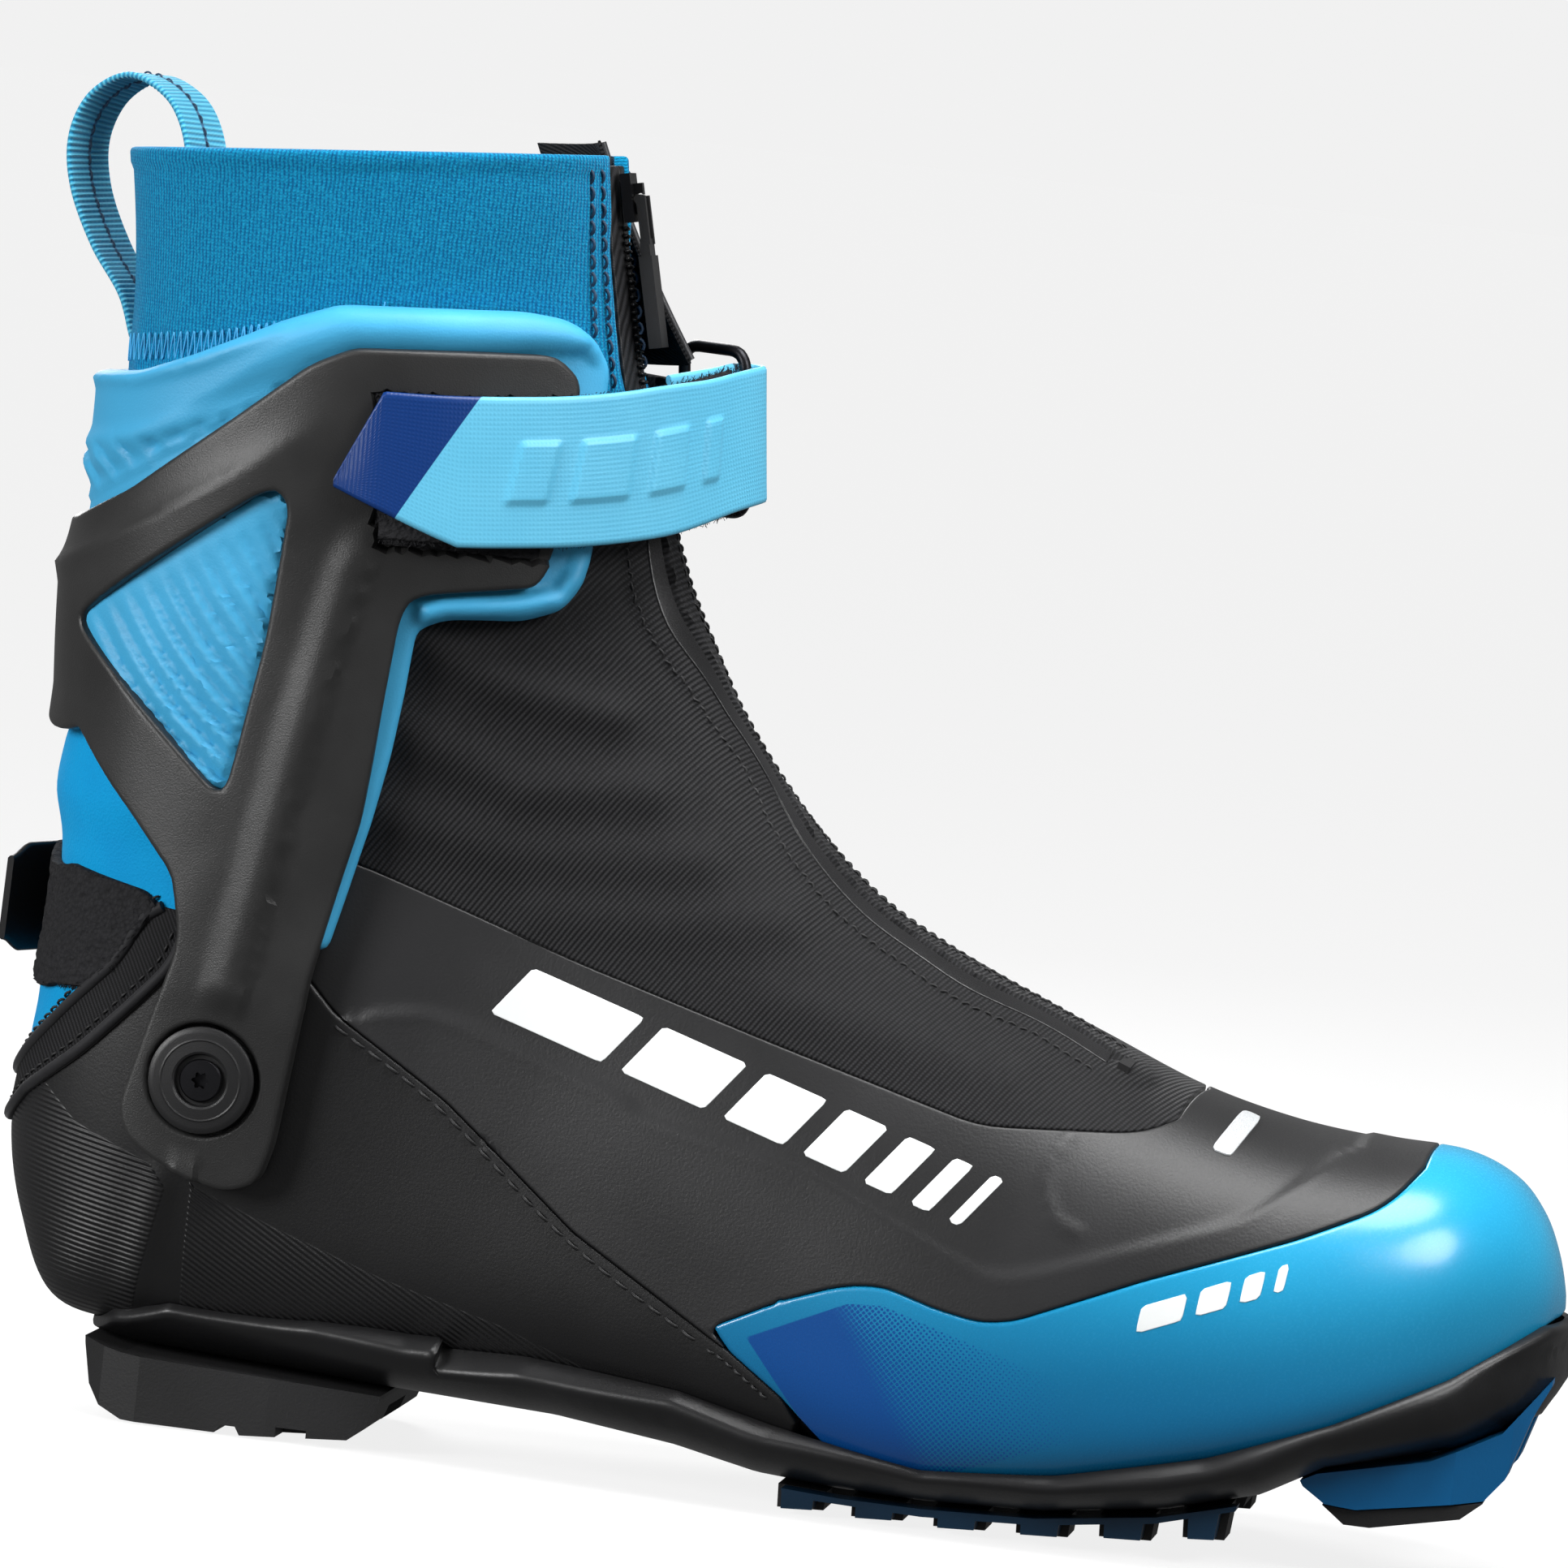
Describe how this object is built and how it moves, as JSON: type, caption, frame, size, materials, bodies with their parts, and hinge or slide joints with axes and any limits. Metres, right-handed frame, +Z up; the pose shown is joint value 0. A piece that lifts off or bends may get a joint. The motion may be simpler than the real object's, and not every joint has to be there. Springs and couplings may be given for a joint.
{
  "type": "cross country ski boot",
  "caption": "Skate-style cross country ski boot with a pivoting ankle cuff, hook-and-loop cuff strap, zipped cover and a toe bar for the binding.",
  "frame": {"origin": "centre of the whole boot's footprint box, on the floor it stands on", "axes": "+X to the toe, +Z up, -Y to the outer (lateral) side of this right boot"},
  "size_m": [0.3274, 0.0984, 0.2597],
  "materials": {
    "rubber": "moulded black rubber, lightly worn",
    "blue_rubber": "moulded blue rubber",
    "carbon": "woven carbon composite",
    "steel": "hardened steel bar",
    "counter": "moulded black shell with fine ribs",
    "toe_film": "satin blue film with a fine pebble grain",
    "vamp_film": "satin black welded film",
    "twill": "black woven twill",
    "softshell": "bright blue stretch softshell",
    "felt": "grey lining felt",
    "board": "non-woven lasting board",
    "pile": "black hook and loop",
    "reflective": "grey reflective film",
    "cord": "thin braided lace",
    "frame_plastic": "fine-grained dark grey composite",
    "dark_metal": "black-coated metal",
    "foam": "sky blue moulded foam",
    "elastic": "knitted blue elastic",
    "strap": "light blue coated strap",
    "webbing": "ribbed blue webbing"
  },
  "bodies": {
    "root": {"sole_chassis": "rubber", "shank_plate": "carbon", "heel_block": "rubber", "forefoot_tread": "rubber", "tread_insert_lateral": "blue_rubber", "tread_insert_medial": "blue_rubber", "toe_block": "blue_rubber", "toe_tread": "rubber", "toe_bar": "steel", "heel_counter": "counter", "toe_cap": "toe_film", "vamp_overlay": "vamp_film", "vamp_twill": "twill", "ankle_softshell": "softshell", "counter_piping": "twill", "liner": "felt", "tongue": "felt", "quicklace": "cord", "lace_facing_lateral": "frame_plastic", "lace_facing_medial": "frame_plastic", "lace_lock": "frame_plastic", "lasting_board": "board", "insole": "felt", "reflective_mark": "reflective", "zip_tape_lateral": "twill", "zip_tape_medial": "twill", "zip_tack": "cord", "heel_strap_band": "pile", "heel_strap_anchor": "pile", "pivot_bush_lateral": "frame_plastic", "pivot_screw_lateral": "dark_metal", "pivot_nut_lateral": "steel", "pivot_bush_medial": "frame_plastic", "pivot_screw_medial": "dark_metal", "pivot_nut_medial": "steel"},
    "cuff": {"cuff_frame": "frame_plastic", "cuff_pad": "foam", "hook_patch": "pile", "shaft_softshell": "softshell", "elastic_collar": "elastic", "collar_zip_lateral": "twill", "collar_zip_medial": "twill", "collar_gusset": "twill", "pull_loop": "webbing", "ring_tab": "pile"},
    "ring": {"strap_ring": "dark_metal"},
    "strap": {"cuff_strap": "strap"},
    "slider": {"zip_slider": "dark_metal"},
    "pull": {"zip_pull": "frame_plastic"},
    "heel_tab": {"heel_strap_tab": "pile"}
  },
  "joints": [
    {"name": "cuff_flex", "type": "hinge", "parent": "root", "child": "cuff", "pos_m": [-0.10213, 0, 0.0693], "axis": [0, 1, 0], "range_deg": [0, 20]},
    {"name": "ring_swing", "type": "hinge", "parent": "cuff", "child": "ring", "pos_m": [-0.03115, 0.01615, 0.20325], "axis": [-0.1093, 0, 0.994], "range_deg": [0, 40]},
    {"name": "strap_open", "type": "hinge", "parent": "ring", "child": "strap", "pos_m": [-0.01755, 0.00685, 0.20325], "axis": [-0.1093, 0, 0.994], "range_deg": [0, 100]},
    {"name": "zip_travel", "type": "slide", "parent": "cuff", "child": "slider", "axis": [0.2199, 0, -0.9755], "range_m": [0, 0.02]},
    {"name": "zip_pull_lift", "type": "hinge", "parent": "slider", "child": "pull", "pos_m": [-0.04173, -0.0021, 0.2465], "axis": [0, -1, 0], "range_deg": [0, 110]},
    {"name": "heel_tab_peel", "type": "hinge", "parent": "root", "child": "heel_tab", "pos_m": [-0.12843, 0.03205, 0.097], "axis": [0, 0, -1], "range_deg": [0, 60]}
  ]
}
